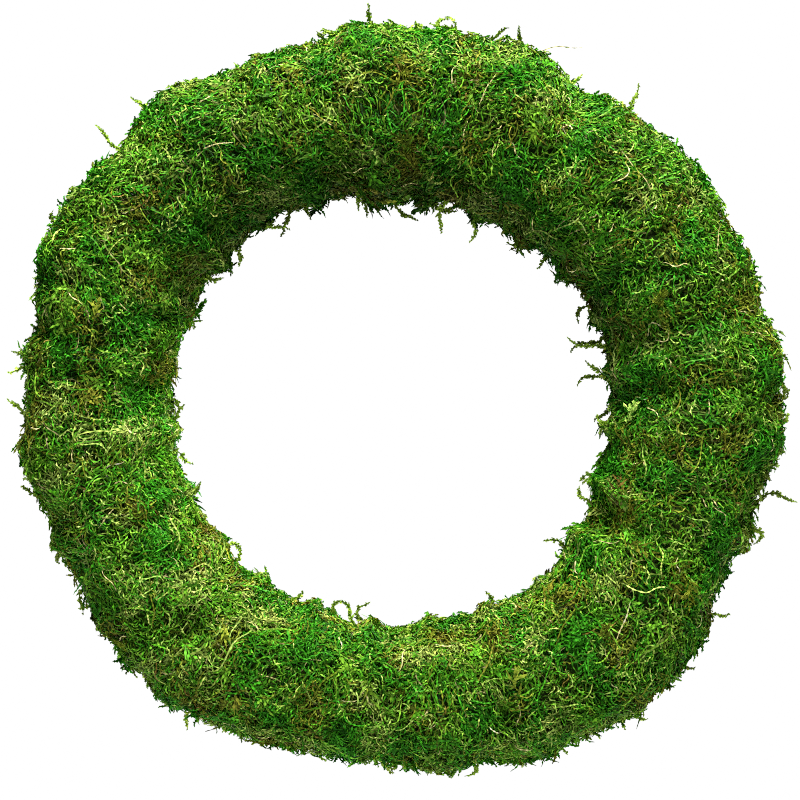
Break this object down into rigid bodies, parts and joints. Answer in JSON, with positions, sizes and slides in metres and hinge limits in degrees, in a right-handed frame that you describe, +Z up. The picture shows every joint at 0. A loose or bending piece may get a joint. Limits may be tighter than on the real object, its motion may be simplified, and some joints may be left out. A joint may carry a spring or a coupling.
{
  "type": "moss wreath frame",
  "caption": "Round wire wreath frame packed and covered with green preserved moss, bound with fine wire, with a wire hanging loop behind.",
  "frame": {"origin": "where a nail leaves the wall, its top against the underside of the hanging loop's crown; the ring's centre is 169.3 mm below it", "axes": "+Z up, +Y to the wall behind the wreath, -Y out of its mossed front, +X to the right as it is seen from the front"},
  "size_m": [0.347, 0.0631, 0.3414],
  "materials": {
    "sheet_moss": "matt green preserved moss, feathery shoots, patches of emerald, yellow-green, olive and straw",
    "packing_moss": "dull olive-brown packing moss, coarse and matted",
    "frame_wire": "dark green lacquered steel wire, satin",
    "binding_wire": "fine green lacquered florist's wire, satin",
    "loop_wire": "plain galvanised steel wire, dull grey"
  },
  "bodies": {
    "root": {"outer_back_ring": "frame_wire", "inner_back_ring": "frame_wire", "outer_front_ring": "frame_wire", "inner_front_ring": "frame_wire", "cross_strut_1": "frame_wire", "cross_strut_2": "frame_wire", "cross_strut_3": "frame_wire", "cross_strut_4": "frame_wire", "cross_strut_5": "frame_wire", "cross_strut_6": "frame_wire", "cross_strut_7": "frame_wire", "cross_strut_8": "frame_wire", "packing_wad_1": "packing_moss", "packing_wad_2": "packing_moss", "packing_wad_3": "packing_moss", "packing_wad_4": "packing_moss", "packing_wad_5": "packing_moss", "packing_wad_6": "packing_moss", "packing_wad_7": "packing_moss", "packing_wad_8": "packing_moss", "moss_pad_01": "sheet_moss", "moss_pad_02": "sheet_moss", "moss_pad_03": "sheet_moss", "moss_pad_04": "sheet_moss", "moss_pad_05": "sheet_moss", "moss_pad_06": "sheet_moss", "moss_pad_07": "sheet_moss", "moss_pad_08": "sheet_moss", "moss_pad_09": "sheet_moss", "moss_pad_10": "sheet_moss", "moss_pad_11": "sheet_moss", "moss_pad_12": "sheet_moss", "binding_wire": "binding_wire", "hanging_loop": "loop_wire"}
  },
  "joints": []
}
